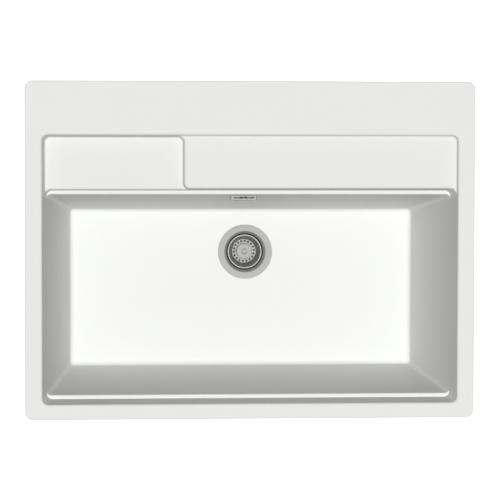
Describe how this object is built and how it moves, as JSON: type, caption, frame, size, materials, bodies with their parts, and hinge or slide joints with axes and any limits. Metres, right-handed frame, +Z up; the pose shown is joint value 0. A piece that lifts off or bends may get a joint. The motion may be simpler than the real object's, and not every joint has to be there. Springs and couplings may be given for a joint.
{
  "type": "kitchen sink",
  "caption": "Inset kitchen sink with a large bowl, a stepped rear shelf, a tap deck, a lift-out basket strainer, a covered overflow and swing-arm clamps under the rim.",
  "frame": {"origin": "middle of the sink in plan, in the plane of the worktop that the rim rests on", "axes": "+Z up, +Y towards the tap deck, +X to the right when facing the tap deck"},
  "size_m": [0.68, 0.51, 0.313],
  "materials": {
    "composite": "fine matt, moulded",
    "satin_steel": "satin",
    "polished_steel": "polished",
    "seal_rubber": "matt",
    "dark_plastic": "moulded",
    "light_plastic": "moulded",
    "insert_brass": "turned",
    "plated_steel": "zinc plated"
  },
  "bodies": {
    "sink": {"sink_body": "composite", "strainer_cup": "satin_steel", "overflow_cover": "satin_steel", "waste_clamping_screw": "polished_steel", "overflow_cover_screw": "polished_steel", "rim_seal": "seal_rubber", "flange_gasket": "seal_rubber", "waste_body_gasket": "seal_rubber", "overflow_gasket": "seal_rubber", "overflow_seal_rings": "seal_rubber", "waste_body": "dark_plastic", "waste_bridge": "dark_plastic", "waste_tail": "dark_plastic", "overflow_elbow": "dark_plastic", "overflow_bend": "dark_plastic", "overflow_liner": "dark_plastic", "overflow_down_pipe": "light_plastic", "overflow_cross_pipe": "light_plastic", "overflow_nut_elbow": "light_plastic", "overflow_nut_bend_top": "light_plastic", "overflow_nut_bend_side": "light_plastic", "overflow_nut_inlet": "light_plastic", "waste_threaded_insert": "insert_brass", "clamp_inserts": "insert_brass"},
    "basket": {"basket": "polished_steel", "basket_hub_washer": "dark_plastic"},
    "basket_knob": {"basket_knob": "satin_steel", "basket_stem": "dark_plastic", "basket_clip": "polished_steel", "basket_stopper": "seal_rubber"},
    "clamp_lift_back_left": {"clamp_screw_back_left": "plated_steel", "clamp_washer_back_left": "plated_steel"},
    "clamp_arm_back_left": {"clamp_arm_back_left": "plated_steel"},
    "clamp_lift_back_right": {"clamp_screw_back_right": "plated_steel", "clamp_washer_back_right": "plated_steel"},
    "clamp_arm_back_right": {"clamp_arm_back_right": "plated_steel"},
    "clamp_lift_front_left": {"clamp_screw_front_left": "plated_steel", "clamp_washer_front_left": "plated_steel"},
    "clamp_arm_front_left": {"clamp_arm_front_left": "plated_steel"},
    "clamp_lift_front_right": {"clamp_screw_front_right": "plated_steel", "clamp_washer_front_right": "plated_steel"},
    "clamp_arm_front_right": {"clamp_arm_front_right": "plated_steel"},
    "clamp_lift_side_left": {"clamp_screw_side_left": "plated_steel", "clamp_washer_side_left": "plated_steel"},
    "clamp_arm_side_left": {"clamp_arm_side_left": "plated_steel"},
    "clamp_lift_side_right": {"clamp_screw_side_right": "plated_steel", "clamp_washer_side_right": "plated_steel"},
    "clamp_arm_side_right": {"clamp_arm_side_right": "plated_steel"}
  },
  "joints": [
    {"name": "basket_lift", "type": "slide", "parent": "sink", "child": "basket", "axis": [0, 0, 1], "range_m": [0, 0.05]},
    {"name": "knob_turn", "type": "hinge", "parent": "basket", "child": "basket_knob", "pos_m": [0.0065, -0.0125, -0.2375], "axis": [0, 0, 1], "continuous": true},
    {"name": "clamp_raise_back_left", "type": "slide", "parent": "sink", "child": "clamp_lift_back_left", "axis": [0, 0, 1], "range_m": [0, 0.012]},
    {"name": "clamp_swing_back_left", "type": "hinge", "parent": "clamp_lift_back_left", "child": "clamp_arm_back_left", "pos_m": [-0.205, 0.2387, -0.05325], "axis": [0, 0, 1], "range_deg": [0, 90]},
    {"name": "clamp_raise_back_right", "type": "slide", "parent": "sink", "child": "clamp_lift_back_right", "axis": [0, 0, 1], "range_m": [0, 0.012]},
    {"name": "clamp_swing_back_right", "type": "hinge", "parent": "clamp_lift_back_right", "child": "clamp_arm_back_right", "pos_m": [0.205, 0.2387, -0.05325], "axis": [0, 0, 1], "range_deg": [0, 90]},
    {"name": "clamp_raise_front_left", "type": "slide", "parent": "sink", "child": "clamp_lift_front_left", "axis": [0, 0, 1], "range_m": [0, 0.012]},
    {"name": "clamp_swing_front_left", "type": "hinge", "parent": "clamp_lift_front_left", "child": "clamp_arm_front_left", "pos_m": [-0.205, -0.2387, -0.05325], "axis": [0, 0, 1], "range_deg": [0, 90]},
    {"name": "clamp_raise_front_right", "type": "slide", "parent": "sink", "child": "clamp_lift_front_right", "axis": [0, 0, 1], "range_m": [0, 0.012]},
    {"name": "clamp_swing_front_right", "type": "hinge", "parent": "clamp_lift_front_right", "child": "clamp_arm_front_right", "pos_m": [0.205, -0.2387, -0.05325], "axis": [0, 0, 1], "range_deg": [0, 90]},
    {"name": "clamp_raise_side_left", "type": "slide", "parent": "sink", "child": "clamp_lift_side_left", "axis": [0, 0, 1], "range_m": [0, 0.012]},
    {"name": "clamp_swing_side_left", "type": "hinge", "parent": "clamp_lift_side_left", "child": "clamp_arm_side_left", "pos_m": [-0.3237, -0.03, -0.05325], "axis": [0, 0, 1], "range_deg": [0, 90]},
    {"name": "clamp_raise_side_right", "type": "slide", "parent": "sink", "child": "clamp_lift_side_right", "axis": [0, 0, 1], "range_m": [0, 0.012]},
    {"name": "clamp_swing_side_right", "type": "hinge", "parent": "clamp_lift_side_right", "child": "clamp_arm_side_right", "pos_m": [0.3237, -0.03, -0.05325], "axis": [0, 0, 1], "range_deg": [0, 90]}
  ]
}
